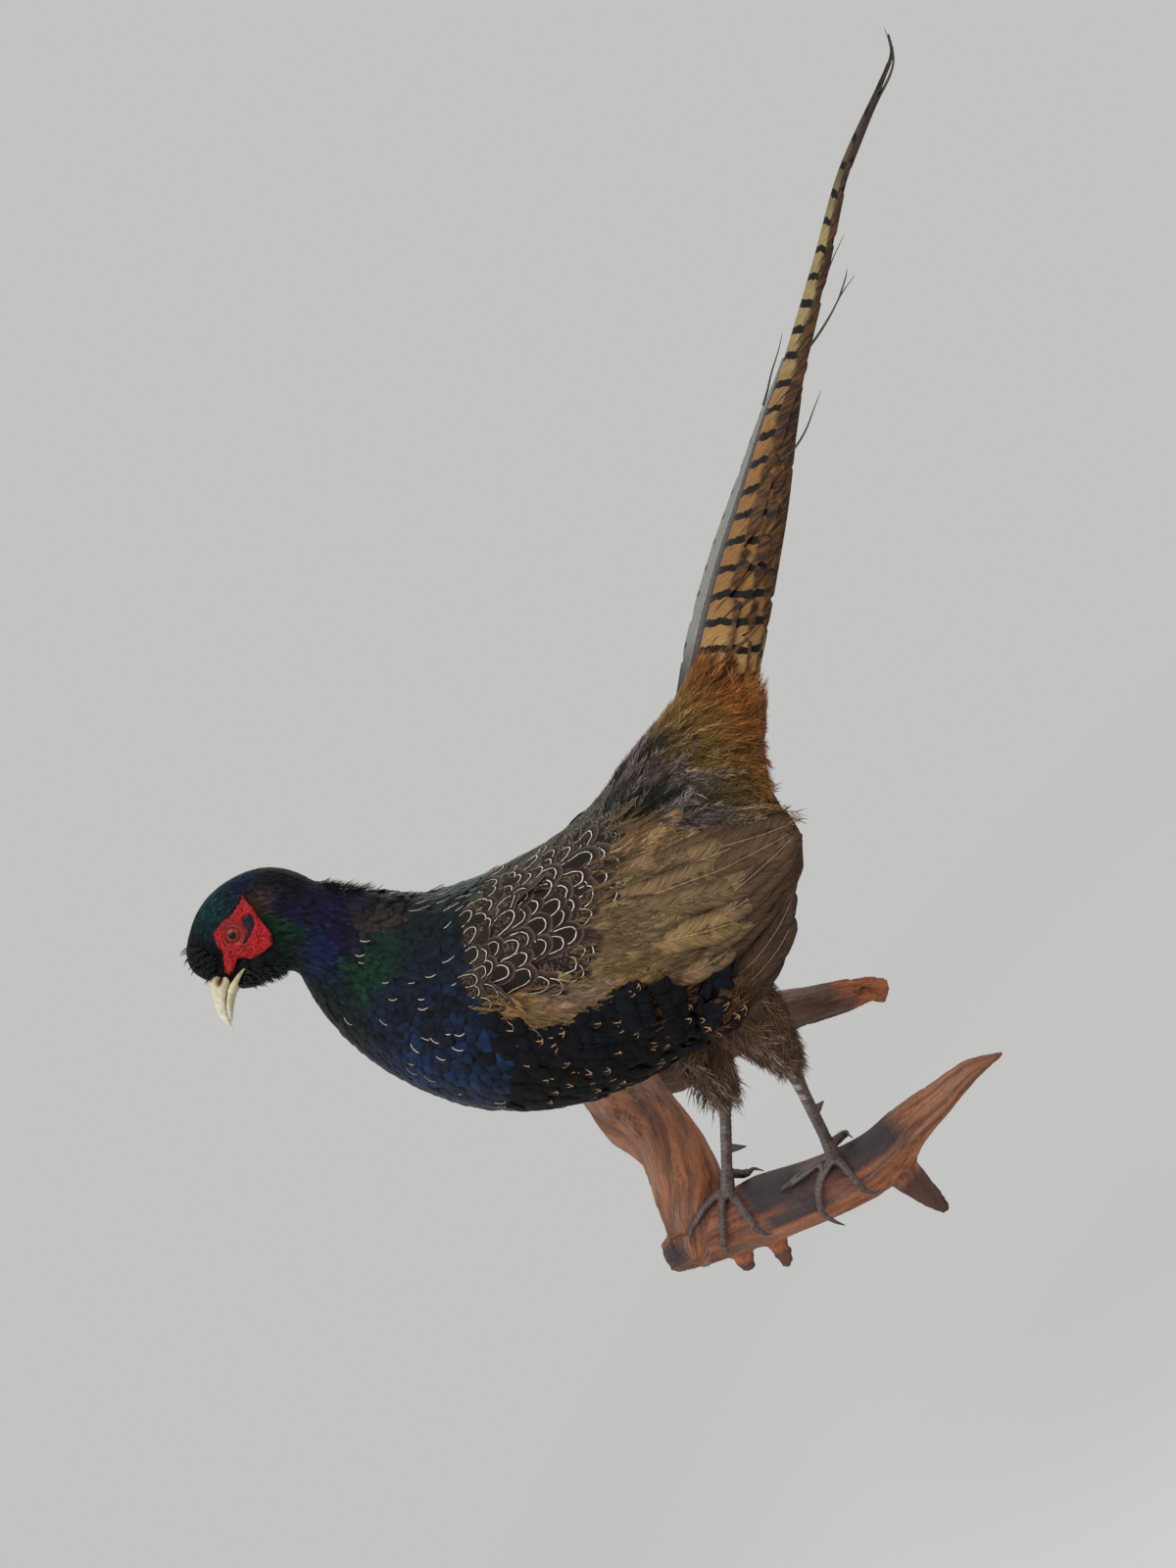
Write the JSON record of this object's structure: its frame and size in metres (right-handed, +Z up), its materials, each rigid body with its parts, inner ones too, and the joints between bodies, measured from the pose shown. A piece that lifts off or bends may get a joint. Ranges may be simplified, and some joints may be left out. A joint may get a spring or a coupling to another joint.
{
  "type": "taxidermy pheasant",
  "caption": "Mounted dark cock pheasant with a long barred tail, standing on a piece of driftwood that hangs flat on a wall.",
  "frame": {"origin": "centre of the flat sawn back of the driftwood, where it lies against the wall, high on its upper end", "axes": "+Y into the wall, +Z up, -X the way the bird faces; the tail runs out to +X"},
  "size_m": [0.6307, 0.2766, 0.4553],
  "materials": {
    "crown_feathers": "dark green-black feathers with a teal sheen",
    "neck_feathers": "blue-violet feathers with a green sheen",
    "breast_feathers": "deep blue scale feathers with a soft sheen",
    "body_feathers": "blackish-brown feathers with cream scallops",
    "rump_feathers": "soft olive to rust-orange feathers",
    "wing_feathers": "grey-tan feathers with pale shafts",
    "thigh_feathers": "fluffy brown down",
    "tail_feathers": "tan-orange feathers barred in black",
    "slipped_feather": "grey-brown feather",
    "bill_horn": "pale ivory horn",
    "claw_horn": "dark horn",
    "leg_scutes": "grey-brown scaled skin",
    "wattle_skin": "bright red pimpled skin",
    "eye_glass": "polished dull orange-red iris with a dark pupil",
    "driftwood": "weathered reddish-brown grain with a dark stain"
  },
  "bodies": {
    "root": {"head": "crown_feathers", "neck_upper": "neck_feathers", "neck_lower": "breast_feathers", "trunk": "body_feathers", "rump": "rump_feathers", "bill_upper": "bill_horn", "bill_lower": "bill_horn", "eye_left": "eye_glass", "wattle_left": "wattle_skin", "wing_left": "wing_feathers", "eye_right": "eye_glass", "wattle_right": "wattle_skin", "wing_right": "wing_feathers", "tail_left_1": "tail_feathers", "tail_right_1": "tail_feathers", "tail_left_2": "tail_feathers", "tail_right_2": "tail_feathers", "tail_left_3": "tail_feathers", "tail_right_3": "tail_feathers", "tail_left_4": "tail_feathers", "tail_right_4": "tail_feathers", "tail_left_5": "tail_feathers", "tail_right_5": "tail_feathers", "tail_right_raised": "slipped_feather", "thigh_right": "thigh_feathers", "tarsus_right": "leg_scutes", "spur_right": "claw_horn", "toe_right_inner": "leg_scutes", "claw_right_inner": "claw_horn", "toe_right_middle": "leg_scutes", "claw_right_middle": "claw_horn", "toe_right_outer": "leg_scutes", "claw_right_outer": "claw_horn", "toe_right_hind": "leg_scutes", "claw_right_hind": "claw_horn", "thigh_left": "thigh_feathers", "tarsus_left": "leg_scutes", "spur_left": "claw_horn", "toe_left_inner": "leg_scutes", "claw_left_inner": "claw_horn", "toe_left_middle": "leg_scutes", "claw_left_middle": "claw_horn", "toe_left_outer": "leg_scutes", "claw_left_outer": "claw_horn", "toe_left_hind": "leg_scutes", "claw_left_hind": "claw_horn", "driftwood": "driftwood"}
  },
  "joints": []
}
